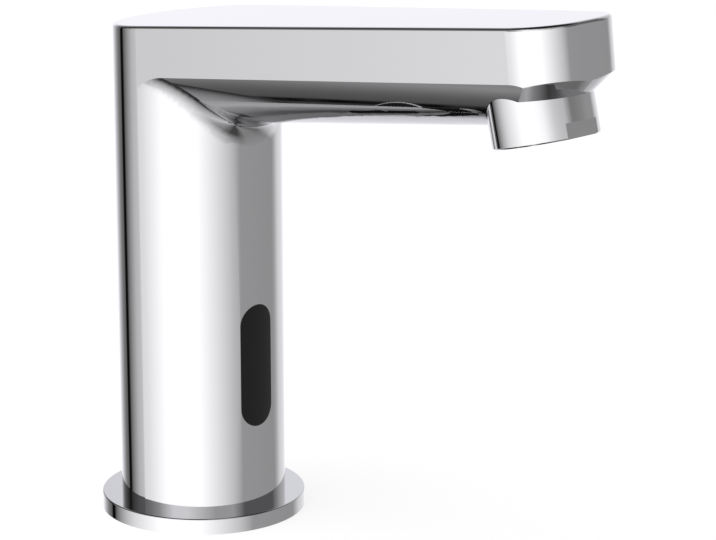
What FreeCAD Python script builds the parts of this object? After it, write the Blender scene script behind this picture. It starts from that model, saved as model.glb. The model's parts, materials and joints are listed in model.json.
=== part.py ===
import FreeCAD, Part
import math
import os
import Sketcher

# Sensor tap for a basin: a round column grown into a slab spout that rises towards its tip,
# a foot plate, a sensor behind a window in the column, a pilot valve above it and an aerator.
# Millimetres. +Z up, +X along the spout, origin in the middle of the foot plate's underside.

os.makedirs("parts", exist_ok=True)
doc = FreeCAD.newDocument("sensor_tap")
V = FreeCAD.Vector

SIZES = [
    # outer shape
    ("column_radius", 23.0, "column, outer radius"),
    ("flange_radius", 28.5, "foot plate, outer radius"),
    ("flange_height", 4.5, "foot plate, height"),
    ("flange_rounding", 0.4, "foot plate, edge rounding"),
    ("top_height", 37.6, "top plane above the end of the column bore, on the column axis"),
    ("spout_rise", 7.0, "spout, rise towards the tip, degrees"),
    ("spout_taper", 2.86, "spout, each side closes by this angle, degrees"),
    ("spout_reach", 143.2, "column axis to the tip, along the spout"),
    ("tip_corner", 13.0, "tip, corner radius in plan"),
    ("side_depth", 13.86, "upright side of the spout, square to its top"),
    ("belly_slope", 52.0, "underside, slope of its flanks, degrees"),
    ("belly_root", 15.3, "underside below the sides, at the column axis"),
    ("belly_tip", 12.4, "underside below the sides, above the outlet"),
    ("belly_span", 130.0, "distance along the spout between these two depths"),
    ("nose_slope", 40.2, "underside of the tip, slope, degrees"),
    ("nose_centre", 18.5, "underside of the tip, middle of its cone short of the spout reach"),
    ("nose_radius", 19.4, "underside of the tip, radius of its cone at the lower edge of the sides"),
    ("nose_spread", 7.0, "underside of the tip, reach of its cone above the lower edge of the sides"),
    ("root_rounding", 8.5, "rounding between column and underside"),
    ("top_rounding", 0.9, "rounding of the top edge"),
    ("mould_start", 0.3, "underside, its start in front of the column's tangent line"),
    ("hull_start", 6.0, "underside, its start behind the column axis"),
    ("hull_end", 8.0, "underside, its end past the tip"),
    ("tool_reach", 60.0, "how far cutting shapes run past what they cut"),
    # column, inside
    ("bore_radius", 19.5, "column bore"),
    ("ledge_height", 3.0, "end of the column bore above the inlet ring channel"),
    ("chamber_radius", 10.0, "water chamber above the valve"),
    ("spigot_radius", 21.5, "spigot inside the foot plate"),
    ("spigot_bottom", 0.8, "spigot, height above the deck"),
    ("spigot_gap", 0.1, "clearance between spigot and foot plate"),
    ("chamber_overlap", 2.0, "water chamber, reach into the waterway"),
    ("channel_half_rear", 9.5, "waterway, half width at its rear end"),
    ("channel_rear", 9.0, "waterway, rear end behind the column axis"),
    ("channel_half_front", 7.5, "waterway, half width at the outlet"),
    ("channel_roof", 5.0, "waterway, metal left above it"),
    ("channel_floor_rear", 24.0, "waterway floor below the top plane, column end"),
    ("channel_floor_front", 19.5, "waterway floor below the top plane, outlet end"),
    ("channel_length", 36.2, "waterway, deep part, ends short of the spout reach by this"),
    ("throat_floor", 8.8, "shallow waterway above the outlet, depth below the top plane"),
    ("throat_start", 60.0, "shallow waterway, its start along the spout"),
    ("throat_end", 20.2, "shallow waterway, ends short of the spout reach by this"),
    # foot plate seal
    ("seal_inner", 1.05, "deck seal groove, inner wall inside the middle of the foot plate's ring"),
    ("seal_outer", 1.95, "deck seal groove, outer wall outside the middle of the foot plate's ring"),
    ("seal_height", 1.5, "deck seal groove, height"),
    ("seal_gap", 0.1, "deck seal, clearance in its groove"),
    # base insert
    ("insert_top", 14.0, "base insert, top"),
    ("insert_gap", 0.05, "base insert, clearance in the bore"),
    ("stud_y", 11.5, "fixing threads, distance to each side"),
    ("stud_thread", 3.4, "fixing threads, radius, M8"),
    ("supply_x", 13.4, "water inlet, distance behind the axis"),
    ("inlet_thread", 4.5, "inlet thread, radius, M10 x 1"),
    ("inlet_top", 1.2, "inlet thread, its upper end below the check valve socket"),
    ("inlet_throat", 3.0, "bore above the strainer, radius"),
    ("socket_bottom", 4.0, "check valve socket, depth in the base insert"),
    ("check_socket", 4.8, "check valve spigot, radius"),
    ("cable_x", 11.0, "cable hole, distance in front of the axis"),
    ("cable_hole", 3.6, "cable hole, radius"),
    ("grommet_bore", 1.8, "grommet, bore radius"),
    ("grommet_flange", 4.8, "grommet, flange radius"),
    ("grommet_lip", 1.5, "grommet, flange height"),
    ("strainer_hole", 0.5, "inlet strainer, hole radius"),
    ("grommet_recess", 2.5, "grommet, lower end above the deck"),
    ("small_gap", 0.05, "clearance of seated inner pieces"),
    # check valve
    ("check_radius", 5.6, "check valve, outer radius"),
    ("check_bore", 2.4, "check valve, bore below the seat"),
    ("check_seat", 3.0, "check valve, its seat above the base insert"),
    ("check_chamber", 4.2, "check valve, chamber radius"),
    ("check_joint", 8.0, "check valve, joint with its cap above the seat"),
    ("check_top", 7.0, "check valve cap, top above the joint"),
    ("cap_spigot", 1.4, "check valve cap, spigot length"),
    ("cap_bore", 2.2, "check valve cap, bore radius"),
    ("poppet_radius", 3.6, "poppet, head radius"),
    ("poppet_head", 1.4, "poppet, head thickness"),
    ("poppet_stem", 0.9, "poppet, stem radius"),
    ("poppet_foot", 4.4, "poppet, guide length below the seat"),
    ("poppet_tail", 2.4, "poppet, stem length above the head"),
    ("poppet_fin", 0.8, "poppet, guide fin thickness"),
    ("running_gap", 0.1, "clearance of sliding pieces"),
    ("check_coil", 2.6, "check valve spring, coil radius"),
    ("check_wire", 0.3, "check valve spring, wire radius"),
    ("check_turns", 2.5, "check valve spring, turns"),
    # supply tube
    ("tube_radius", 3.0, "supply tube, outer radius"),
    ("tube_bore", 2.3, "supply tube, bore radius"),
    ("tube_bottom", 2.0, "supply tube, lower end above the check valve's joint"),
    ("tube_top", 6.3, "supply tube, upper end above the valve body's underside"),
    ("ring_wire", 0.6, "tube seal rings, section radius"),
    ("ring_groove", 4.3, "tube seal groove, radius"),
    ("ring_groove_height", 1.6, "tube seal groove, height"),
    ("ring_low", 2.0, "lower tube seal groove, distance from the tube's end"),
    ("ring_high", 3.8, "upper tube seal groove, distance from the tube's end"),
    # valve body
    ("valve_gap", 0.1, "valve body, clearance in the bore"),
    ("cavity_radius", 8.6, "valve cavity, radius"),
    ("seat_height", 8.6, "main seat above the valve body's underside"),
    ("seat_bore", 4.0, "main seat, bore radius"),
    ("seat_rim", 5.2, "main seat, outer radius"),
    ("ring_channel", 7.4, "inlet ring channel, outer radius"),
    ("ring_channel_top", 4.4, "inlet ring channel, upper end above the main seat"),
    ("valve_duct", 1.2, "duct from the tube to the ring channel, radius"),
    ("valve_duct_height", 2.0, "duct, its middle below the ring channel's upper end"),
    ("valve_seal_inner", 11.0, "valve seal groove, inner radius"),
    ("valve_seal_outer", 13.2, "valve seal groove, outer radius"),
    ("valve_seal_wire", 0.7, "valve seal, section radius"),
    ("valve_screw_at", 11.3, "valve screws, distance from the axis in x and in y"),
    ("valve_screw", 1.6, "valve screws, shank radius"),
    ("valve_screw_top", 6.0, "valve screws, upper end above the end of the column bore"),
    ("screw_gap", 0.05, "clearance around screw shanks"),
    ("screw_head", 2.6, "valve and bonnet screws, head radius"),
    ("screw_head_height", 2.4, "valve and bonnet screws, head height"),
    ("screw_socket", 1.25, "hexagon socket, radius over the corners"),
    ("screw_socket_depth", 1.2, "hexagon socket, depth"),
    ("thread_spare", 1.0, "threaded holes, depth past the ends of their screws"),
    # bonnet
    ("bonnet_bottom", 2.0, "bonnet, underside below the valve body's"),
    ("bonnet_flange", 9.9, "bonnet, flange radius"),
    ("bonnet_gap", 0.1, "bonnet, clearance in the cavity"),
    ("bonnet_chamber", 6.5, "bonnet, pilot chamber radius"),
    ("bonnet_floor", 4.0, "bonnet, chamber floor above its underside"),
    ("bonnet_ear", 3.4, "bonnet, radius of its two ears"),
    ("bonnet_screw_y", 13.5, "bonnet screws, distance to each side"),
    ("bonnet_screw", 1.2, "bonnet screws, shank radius"),
    ("bonnet_screw_top", 5.0, "bonnet screws, upper end above the valve body's underside"),
    # diaphragm and pilot
    ("diaphragm_height", 1.0, "diaphragm, thickness"),
    ("pilot_hole", 0.5, "pilot hole, radius"),
    ("disc_radius", 4.8, "diaphragm disc, radius"),
    ("disc_height", 1.5, "diaphragm disc, thickness"),
    ("boss_radius", 1.8, "pilot boss, radius"),
    ("boss_height", 1.1, "pilot boss, height"),
    # solenoid
    ("guide_radius", 4.5, "armature tube, outer radius"),
    ("guide_bore", 4.0, "armature tube, bore radius"),
    ("guide_flange", 6.0, "armature tube, flange radius"),
    ("guide_flange_height", 0.8, "armature tube, flange height"),
    ("guide_bottom", 0.6, "armature tube, lower end of the wide part above the yoke's underside"),
    ("guide_floor", 1.2, "armature tube, inside floor above the lower end of the wide part"),
    ("guide_stub", 2.5, "armature tube, threaded stub radius"),
    ("guide_stub_bottom", 5.0, "armature tube, lower end of the stub below the wide part"),
    ("core_top", 2.8, "fixed core, top above the tube's floor"),
    ("plunger_bottom", 2.0, "plunger, lower end above the fixed core with the valve shut"),
    ("plunger_top", 18.6, "plunger, upper end above its lower end"),
    ("plunger_pocket", 2.3, "plunger, spring pocket radius"),
    ("plunger_pocket_top", 10.0, "plunger, spring pocket upper end above the lower end"),
    ("pilot_seal", 2.0, "plunger seal, radius"),
    ("pilot_seal_bottom", 2.1, "plunger seal, lower face below the pilot boss"),
    ("seal_stand", 0.4, "plunger seal, how far it stands out of the plunger"),
    ("plunger_coil", 1.75, "plunger spring, coil radius"),
    ("plunger_wire", 0.25, "plunger spring, wire radius"),
    ("plunger_turns", 9.0, "plunger spring, turns"),
    ("coil_radius", 8.4, "coil, outer radius"),
    ("coil_gap", 0.2, "coil, clearance in the yoke and on the tube"),
    ("yoke_inner", 9.0, "yoke, inner half width"),
    ("yoke_plate", 1.4, "yoke, sheet thickness"),
    ("yoke_half_depth", 6.0, "yoke, half width along the spout"),
    ("yoke_bottom", 1.4, "yoke, underside above the sensor housing"),
    ("yoke_gap", 0.1, "yoke, clearance around the armature tube"),
    ("nut_flat", 4.0, "nut, half width across flats"),
    ("nut_height", 3.2, "nut, height"),
    # sensor
    ("window_height", 45.0, "window, middle above the deck"),
    ("window_half_width", 5.625, "window, half width"),
    ("window_half_length", 17.35, "window, half length"),
    ("window_gap", 0.05, "window, clearance in its slot"),
    ("window_sink", 0.03, "window face below the column's surface"),
    ("lip_half_width", 6.8, "window lip, half width"),
    ("lip_half_length", 4.0, "window lip and housing flange, length past the sensor housing's tray"),
    ("gasket_half_length", 2.65, "gasket, length past the window"),
    ("gasket_height", 0.75, "gasket, thickness"),
    ("lens_back", 16.9, "window, rear face in front of the axis"),
    ("lens_thickness", 2.6, "window, thickness at the middle"),
    ("lens_recess_half", 4.2, "window recess, half width"),
    ("lens_recess_length", 1.85, "window recess, ends short of the window by this"),
    ("box_back", 6.0, "sensor housing, rear face in front of the axis"),
    ("box_front", 16.7, "sensor housing, front face"),
    ("box_half_width", 6.5, "sensor housing, half width"),
    ("box_half_length", 19.0, "sensor housing, half length"),
    ("box_wall", 1.2, "sensor housing, wall"),
    ("box_flange", 1.5, "sensor housing, flange thickness"),
    ("board_back", 8.6, "circuit board, rear face"),
    ("board_thickness", 1.6, "circuit board, thickness"),
    ("board_gap", 0.15, "circuit board, clearance in the housing"),
    ("post_radius", 1.2, "board posts, radius"),
    ("post_offset", 3.5, "board posts, distance from the ends of the sensor housing's tray"),
    ("eye_offset", 9.0, "emitter and receiver, distance above and below the middle"),
    ("eye_radius", 2.5, "emitter and receiver, radius"),
    ("eye_rim", 2.9, "emitter and receiver, rim radius"),
    ("eye_length", 5.6, "emitter and receiver, length"),
    ("lamp_radius", 1.5, "status light, radius"),
    ("lamp_rim", 1.8, "status light, rim radius"),
    ("lamp_length", 5.0, "status light, length"),
    ("rim_height", 1.0, "height of the rims of emitter, receiver and light"),
    ("sensor_screw", 0.8, "sensor screws, shank radius"),
    ("sensor_screw_head", 1.8, "sensor screws, head radius"),
    ("sensor_screw_cap", 1.4, "sensor screws, head height"),
    ("sensor_screw_at", 2.0, "sensor screws, distance past the sensor housing's tray"),
    ("sensor_screw_end", 18.3, "sensor screws, front end in front of the axis"),
    # outlet
    ("outlet_x", 14.1, "outlet, middle of its lower rim short of the spout reach"),
    ("outlet_z", 30.3515, "outlet, lower rim below the top plane above it"),
    ("outlet_tilt", 14.0, "outlet, lean of its axis from the upright, degrees"),
    ("collar_radius", 13.6, "aerator housing, outer radius"),
    ("collar_edge", 0.35, "aerator housing, bevel of its lower edge"),
    ("collar_gap", 0.12, "clearance around the aerator housing"),
    ("collar_height", 14.3, "aerator housing, height of the wide part"),
    ("collar_end_gap", 0.2, "clearance above the aerator housing's shoulder"),
    ("outlet_thread", 12.0, "aerator thread, radius, M24 x 1"),
    ("outlet_thread_top", 19.3, "aerator thread, upper end"),
    ("collar_bore", 10.9, "aerator housing, bore radius"),
    ("collar_lip", 9.8, "aerator housing, radius of the outlet hole"),
    ("collar_lip_height", 1.5, "aerator housing, lip height"),
    ("flat_distance", 12.45, "spanner flats, distance from the axis"),
    ("flat_height", 4.0, "spanner flats, height"),
    ("washer_height", 1.6, "aerator washer, thickness"),
    ("washer_bore", 8.6, "aerator washer, bore radius"),
    ("throat_radius", 8.8, "outlet throat, radius"),
    ("throat_top", 25.5, "outlet throat, upper end above the lower rim"),
    ("insert_disc_top", 9.0, "aerator insert, upper face above the lower rim"),
    ("insert_hole", 1.3, "aerator insert, hole radius"),
    ("insert_ring_one", 3.7, "aerator insert, radius of the inner ring of holes"),
    ("insert_ring_two", 7.3, "aerator insert, radius of the outer ring of holes"),
    ("screen_height", 0.6, "aerator screen, thickness"),
    ("screen_hole", 1.0, "aerator screen, hole radius"),
    ("regulator_height", 3.9, "flow regulator, thickness"),
    ("regulator_hole", 1.1, "flow regulator, hole radius"),
    ("regulator_ring", 6.0, "flow regulator, radius of its ring of holes"),
]

sheet = doc.addObject("Spreadsheet::Sheet", "dims")
for row, (name, number, meaning) in enumerate(SIZES, start=1):
    sheet.set("A%d" % row, name)
    sheet.set("B%d" % row, "%g" % number)
    sheet.set("C%d" % row, meaning)
    sheet.setAlias("B%d" % row, name)
doc.recompute()


class Size:
    """A value together with the sheet expression it comes from."""

    def __init__(self, text, value):
        self.text = text
        self.value = value

    def __float__(self):
        return self.value

    def combined(self, sign, other, value):
        other_text = other.text if isinstance(other, Size) else "%g" % other
        return Size("(%s %s %s)" % (self.text, sign, other_text), value)

    def __add__(self, other):
        return self.combined("+", other, self.value + float(other))

    def __sub__(self, other):
        return self.combined("-", other, self.value - float(other))

    def __mul__(self, other):
        return self.combined("*", other, self.value * float(other))

    def __neg__(self):
        return self * -1


class Sheet:
    """Gives each named size of the sheet as a Size."""

    def __getattr__(self, name):
        return Size("dims." + name, float(getattr(sheet, name)))


def tangent(angle):
    """Tangent of an angle given in degrees."""
    return Size("tan(%s * 1 deg)" % angle.text, math.tan(math.radians(float(angle))))


D = Sheet()
ZERO = Size("0", 0.0)

# ---------------------------------------------------------------- levels above the deck

# inlet side, standing on the base insert
socket_z = D.insert_top - D.socket_bottom
inlet_z = socket_z - D.inlet_top
check_seat_z = D.insert_top + D.check_seat
check_joint_z = check_seat_z + D.check_joint
check_top_z = check_joint_z + D.check_top
tube_bottom_z = check_joint_z + D.tube_bottom
ring_low_z = tube_bottom_z + D.ring_low

# solenoid, standing clear of the sensor housing, then pilot, diaphragm and main seat
yoke_z = D.window_height + D.box_half_length + D.yoke_bottom
guide_z = yoke_z + D.guide_bottom
guide_stub_z = guide_z - D.guide_stub_bottom
guide_floor_z = guide_z + D.guide_floor
core_z = guide_floor_z + D.core_top
plunger_z = core_z + D.plunger_bottom
plunger_pocket_z = plunger_z + D.plunger_pocket_top
plunger_top_z = plunger_z + D.plunger_top
boss_z = plunger_top_z + D.seal_stand
pilot_seal_z = boss_z - D.pilot_seal_bottom
disc_z = boss_z + D.boss_height
diaphragm_z = disc_z + D.disc_height
seat_z = diaphragm_z + D.diaphragm_height

# valve body round the seat, bonnet under it, casting above it
valve_z = seat_z - D.seat_height
bonnet_z = valve_z - D.bonnet_bottom
bonnet_floor_z = bonnet_z + D.bonnet_floor
bonnet_screw_z = valve_z + D.bonnet_screw_top
tube_top_z = valve_z + D.tube_top
ring_high_z = tube_top_z - D.ring_high
ring_channel_z = seat_z + D.ring_channel_top
valve_duct_z = ring_channel_z - D.valve_duct_height
ledge_z = ring_channel_z + D.ledge_height
valve_screw_z = ledge_z + D.valve_screw_top
top_z = ledge_z + D.top_height

# along the spout, measured back from the tip
outlet_x = D.spout_reach - D.outlet_x
nose_centre = D.spout_reach - D.nose_centre
channel_length = D.spout_reach - D.channel_length
throat_end = D.spout_reach - D.throat_end
outlet_z = top_z + outlet_x * tangent(D.spout_rise) - D.outlet_z

# lengths of the sensor's pieces, from the housing's tray and from the window
lip_half_length = D.box_half_length + D.lip_half_length
sensor_screw_at = D.box_half_length + D.sensor_screw_at
post_offset = D.box_half_length - D.post_offset
gasket_half_length = D.window_half_length + D.gasket_half_length
lens_recess_length = D.window_half_length - D.lens_recess_length

# walls of the deck seal's groove, in the ring of the foot plate
plate_bore = D.spigot_radius + D.spigot_gap
plate_middle = (plate_bore + D.flange_radius) * 0.5
seal_inner_r = plate_middle - D.seal_inner
seal_outer_r = plate_middle + D.seal_outer


def new_body(label):
    body = doc.addObject("PartDesign::Body", label)
    body.Label = label
    return body


def origin_plane(body, role):
    return [item for item in body.Origin.OriginFeatures if item.Role == role][0]


def new_sketch(body, plane="XY_Plane", lift=None):
    sketch = body.newObject("Sketcher::SketchObject", body.Name + "_sketch")
    sketch.AttachmentSupport = (origin_plane(body, plane), [""])
    sketch.MapMode = "FlatFace"
    if lift is not None:
        sketch.setExpression("AttachmentOffset.Base.z", lift.text)
    return sketch


def pin(sketch, geometry, point, x, y):
    """Ties one point of a sketch to the sizes that say where it lies; None leaves it free."""
    for kind, axis, size in (("DistanceX", -2, x), ("DistanceY", -1, y)):
        if size is None:
            continue
        if size is ZERO:
            sketch.addConstraint(Sketcher.Constraint("PointOnObject", geometry, point, axis))
        else:
            index = sketch.addConstraint(
                Sketcher.Constraint(kind, -1, 1, geometry, point, float(size)))
            sketch.setExpression("Constraints[%d]" % index, size.text)


def outline(sketch, points):
    """Closed polygon through points given as pairs of sizes."""
    first = sketch.GeometryCount
    count = len(points)
    corners = [V(float(x), float(y), 0) for x, y in points]
    for i in range(count):
        sketch.addGeometry(Part.LineSegment(corners[i], corners[(i + 1) % count]), False)
    for i in range(count):
        following = first + (i + 1) % count
        sketch.addConstraint(Sketcher.Constraint("Coincident", first + i, 2, following, 1))
    for i, (x, y) in enumerate(points):
        pin(sketch, first + i, 1, x, y)


def rectangle(sketch, x0, x1, y0, y1):
    outline(sketch, [(x0, y0), (x1, y0), (x1, y1), (x0, y1)])


def circle(sketch, x, y, radius):
    centre = V(float(x), float(y), 0)
    ring = sketch.addGeometry(Part.Circle(centre, V(0, 0, 1), float(radius)), False)
    pin(sketch, ring, 3, x, y)
    index = sketch.addConstraint(Sketcher.Constraint("Radius", ring, float(radius)))
    sketch.setExpression("Constraints[%d]" % index, radius.text)


def stadium(sketch, y, half_width, half_length):
    """Upright slot with round ends, centred on the sketch's vertical axis."""
    straight = half_length - half_width
    r = float(half_width)
    upper = V(0, float(y) + float(straight), 0)
    lower = V(0, float(y) - float(straight), 0)
    side = V(r, 0, 0)
    up = V(0, r, 0)
    first = sketch.GeometryCount
    sketch.addGeometry(Part.Arc(upper + side, upper + up, upper - side), False)
    sketch.addGeometry(Part.LineSegment(upper - side, lower - side), False)
    sketch.addGeometry(Part.Arc(lower - side, lower - up, lower + side), False)
    sketch.addGeometry(Part.LineSegment(lower + side, upper + side), False)
    top, left, bottom, right = range(first, first + 4)
    for one, two in ((top, left), (left, bottom), (bottom, right), (right, top)):
        sketch.addConstraint(Sketcher.Constraint("Coincident", one, 2, two, 1))
    pin(sketch, top, 3, ZERO, y + straight)
    pin(sketch, bottom, 3, ZERO, y - straight)
    pin(sketch, left, 1, None, y + straight)
    pin(sketch, left, 2, None, y - straight)
    pin(sketch, right, 1, half_width, y - straight)
    pin(sketch, right, 2, half_width, y + straight)


def raised(body, sketch, length, symmetric=False):
    pad = body.newObject("PartDesign::Pad", body.Name + "_pad")
    pad.Profile = sketch
    pad.setExpression("Length", length.text)
    if symmetric:
        pad.SideType = "Symmetric"
    return pad


def recess(body, sketch, depth=None):
    """Cuts against the sketch normal by depth, or both ways through everything."""
    pocket = body.newObject("PartDesign::Pocket", body.Name + "_pocket")
    pocket.Profile = sketch
    if depth is None:
        pocket.Type = "ThroughAll"
        pocket.SideType = "Symmetric"
    else:
        pocket.setExpression("Length", depth.text)
    return pocket


def turned(label, points):
    """Body turned about its own upright axis from an outline of (radius, height)."""
    body = new_body(label)
    sketch = new_sketch(body, "XZ_Plane")
    outline(sketch, points)
    revolution = body.newObject("PartDesign::Revolution", label + "_turned")
    revolution.Profile = sketch
    revolution.ReferenceAxis = (sketch, ["V_Axis"])
    revolution.Angle = 360
    return body


def ring(label, inner, outer, bottom, top):
    return turned(label, [(inner, bottom), (outer, bottom), (outer, top), (inner, top)])


def moved(thing, x=None, y=None, z=None):
    for axis, size in (("x", x), ("y", y), ("z", z)):
        if size is not None:
            thing.setExpression("Placement.Base." + axis, size.text)
    return thing


def leaning(thing):
    """Sets a piece of the outlet on the outlet's own axis."""
    turn = FreeCAD.Rotation(V(0, -1, 0), float(D.outlet_tilt))
    thing.Placement = FreeCAD.Placement(V(0, 0, 0), turn)
    thing.setExpression("Placement.Rotation.Angle", D.outlet_tilt.text)
    return moved(thing, x=outlet_x, z=outlet_z)


def facing_front(thing, z):
    """Turns a piece made upright so that it points along the spout."""
    thing.Placement = FreeCAD.Placement(V(0, 0, 0), FreeCAD.Rotation(V(0, 1, 0), 90))
    return moved(thing, x=D.board_back + D.board_thickness, z=z)


def solid_piece(label, shape):
    piece = doc.addObject("Part::Feature", label)
    piece.Label = label
    piece.Shape = shape
    return piece


def polar(radius, count, start=0.0):
    """Places on a ring, as pairs of sizes."""
    places = []
    for i in range(count):
        angle = math.radians(start + 360.0 * i / count)
        places.append((radius * round(math.cos(angle), 6), radius * round(math.sin(angle), 6)))
    return places


# ---------------------------------------------------------------- casting, outside

rise = math.radians(float(D.spout_rise))
taper = math.radians(float(D.spout_taper))
column_r = float(D.column_radius)
top = float(top_z)
rim = -float(D.side_depth)
slab = FreeCAD.Placement(V(0, 0, top), FreeCAD.Rotation(V(0, -1, 0), float(D.spout_rise)))
outlet = FreeCAD.Placement(V(float(outlet_x), 0, float(outlet_z)),
                           FreeCAD.Rotation(V(0, -1, 0), float(D.outlet_tilt)))
tangent_x = column_r * math.sin(taper)
tangent_y = column_r * math.cos(taper)
BEYOND = float(D.tool_reach)


def half_width(along, level):
    """Half width of the spout at a place given along and square to its top."""
    x = along * math.cos(rise) - level * math.sin(rise)
    return (column_r - x * math.sin(taper)) / math.cos(taper)


def prism():
    """Column and spout seen from above, pulled up and cut square at the tip."""
    far = float(D.spout_reach) + BEYOND
    far_y = half_width(far, 0.0)
    base = float(D.flange_height)
    rear = Part.Arc(V(tangent_x, tangent_y, base), V(-column_r, 0, base),
                    V(tangent_x, -tangent_y, base)).toShape()
    near = Part.LineSegment(V(tangent_x, -tangent_y, base), V(far, -far_y, base)).toShape()
    end = Part.LineSegment(V(far, -far_y, base), V(far, far_y, base)).toShape()
    away = Part.LineSegment(V(far, far_y, base), V(tangent_x, tangent_y, base)).toShape()
    face = Part.Face(Part.Wire([rear, near, end, away]))
    shape = face.extrude(V(0, 0, top + BEYOND))
    tip = Part.makeBox(2 * BEYOND, 2 * BEYOND, 6 * BEYOND,
                       V(float(D.spout_reach), -BEYOND, -4 * BEYOND))
    tip.Placement = slab
    shape = shape.cut(tip)
    corners = [edge for edge in shape.Edges
               if edge.BoundBox.ZLength > BEYOND and edge.BoundBox.XMin > float(D.spout_reach) / 2]
    shape = shape.makeFillet(float(D.tip_corner), corners)
    above = Part.makeBox(5 * BEYOND, 2 * BEYOND, 2 * BEYOND, V(-BEYOND, -BEYOND, 0))
    above.Placement = slab
    shape = shape.cut(above)
    roof = max(shape.Faces, key=lambda f: f.CenterOfMass.z)
    return shape.makeFillet(float(D.top_rounding), roof.Edges)


def belly_section(along, depth, spread):
    """Cross-section of the underside: two straight flanks with a round belly between."""
    slope = math.radians(float(D.belly_slope))
    half = half_width(along, rim)
    radius = (half * math.sin(slope) - depth * math.cos(slope)) / (1 - math.cos(slope))
    centre = rim - depth + radius
    touch_y = radius * math.sin(slope)
    touch_n = centre - radius * math.cos(slope)
    out_y = half + spread
    out_n = rim + spread * math.tan(slope)
    left = Part.LineSegment(V(along, -out_y, out_n), V(along, -touch_y, touch_n)).toShape()
    arc = Part.Arc(V(along, -touch_y, touch_n), V(along, 0, rim - depth),
                   V(along, touch_y, touch_n)).toShape()
    right = Part.LineSegment(V(along, touch_y, touch_n), V(along, out_y, out_n)).toShape()
    lid = Part.LineSegment(V(along, out_y, out_n), V(along, -out_y, out_n)).toShape()
    return Part.Wire([left, arc, right, lid])


def underside():
    """Column joined to a wide hull whose underside is the spout's, with the root rounded."""
    start = -float(D.hull_start)
    finish = float(D.spout_reach + D.hull_end)
    change = (float(D.belly_tip) - float(D.belly_root)) / float(D.belly_span)
    sections = [belly_section(along, float(D.belly_root) + change * along, BEYOND / 2)
                for along in (start, finish)]
    hull = Part.makeLoft(sections, True, True)
    hull.Placement = slab
    base = float(D.flange_height)
    column = Part.makeCylinder(column_r, top + BEYOND / 2 - base, V(0, 0, base))
    column.rotate(V(0, 0, 0), V(0, 0, 1), 180)
    joined = column.fuse(hull)
    root = []
    for edge in joined.Edges:
        faces = joined.ancestorsOfType(edge, Part.Face)
        round_faces = [f for f in faces if isinstance(f.Surface, Part.Cylinder)
                       and abs(f.Surface.Radius - column_r) < 1e-6]
        middle = edge.valueAt((edge.FirstParameter + edge.LastParameter) / 2)
        if len(faces) == 2 and len(round_faces) == 1 and top / 2 < middle.z < top + column_r / 2:
            if middle.x > 0:
                root.append(edge)
    return joined.makeFillet(float(D.root_rounding), root)


def nose_cut():
    """What the sloping underside of the tip takes away."""
    slope = math.tan(math.radians(float(D.nose_slope)))
    axis_at = float(nose_centre)
    spread = float(D.nose_spread)
    upper_r = float(D.nose_radius) + spread
    upper_n = rim + spread * slope
    depth = upper_r * slope
    block = Part.makeBox(BEYOND, 2 * BEYOND, BEYOND, V(axis_at, -BEYOND, upper_n - BEYOND))
    cone = Part.makeCone(0.0, upper_r, depth, V(axis_at, 0, upper_n - depth))
    block = block.cut(cone)
    block.Placement = slab
    return block


def outer_shape():
    start_x = tangent_x + float(D.mould_start)
    mould = Part.makeBox(4 * BEYOND, 2 * BEYOND, top + 2 * BEYOND - float(D.flange_height),
                         V(start_x, -BEYOND, float(D.flange_height)))
    mould = mould.cut(underside())
    return prism().cut(mould).cut(nose_cut())


# ---------------------------------------------------------------- casting, inside

def drum(radius, bottom, height, x=0.0, y=0.0):
    return Part.makeCylinder(radius, height - bottom, V(x, y, bottom))


def channel_section(along, half, floor):
    points = [V(along, -half, -floor), V(along, half, -floor),
              V(along, half, -float(D.channel_roof)), V(along, -half, -float(D.channel_roof))]
    return Part.makePolygon(points + points[:1])


def outlet_drum(radius, bottom, height):
    shape = drum(radius, bottom, height)
    shape.Placement = outlet
    return shape


def window_slot():
    r = float(D.window_half_width)
    straight = float(D.window_half_length) - r
    z = float(D.window_height)
    slot = Part.makeBox(BEYOND, 2 * r, 2 * straight, V(column_r / 2, -r, z - straight))
    for end in (z - straight, z + straight):
        slot = slot.fuse(Part.makeCylinder(r, BEYOND, V(column_r / 2, 0, end), V(1, 0, 0)))
    return slot


def hollow():
    deep = Part.makeLoft([
        channel_section(-float(D.channel_rear), float(D.channel_half_rear),
                        float(D.channel_floor_rear)),
        channel_section(float(channel_length), float(D.channel_half_front),
                        float(D.channel_floor_front))], True, True)
    deep.Placement = slab
    shallow = Part.makeLoft([
        channel_section(float(D.throat_start), float(D.channel_half_front), float(D.throat_floor)),
        channel_section(float(throat_end), float(D.channel_half_front),
                        float(D.throat_floor))], True, True)
    shallow.Placement = slab
    chamber_top = top - float(D.channel_floor_rear) + float(D.chamber_overlap)
    seat = float(D.outlet_thread_top) + float(D.washer_height) + float(D.small_gap) * 2
    shoulder = float(D.collar_height) + float(D.collar_end_gap)
    at = float(D.valve_screw_at)
    tools = [
        drum(float(D.bore_radius), -1.0, float(ledge_z)),
        drum(float(D.chamber_radius), float(ledge_z) - 1.0, chamber_top),
        deep, shallow, window_slot(),
        outlet_drum(float(D.collar_radius) + float(D.collar_gap), -30.0, shoulder),
        outlet_drum(float(D.outlet_thread) + float(D.small_gap), shoulder - 1.0, seat),
        outlet_drum(float(D.throat_radius), seat - 1.0, float(D.throat_top)),
    ]
    for x in (-at, at):
        for y in (-at, at):
            tools.append(drum(float(D.valve_screw) + float(D.screw_gap),
                              float(ledge_z) - 1.0, float(valve_screw_z + D.thread_spare), x, y))
    return tools


casting = outer_shape()
casting = casting.fuse(drum(float(D.spigot_radius), float(D.spigot_bottom),
                            float(D.flange_height) + 1.0))
for tool in hollow():
    casting = casting.cut(tool)
casting = casting.removeSplitter()
if casting.ShapeType == "Compound":
    casting = max(casting.Solids, key=lambda s: s.Volume)
nodes = [solid_piece("body_casting", casting)]

# ---------------------------------------------------------------- foot

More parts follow.
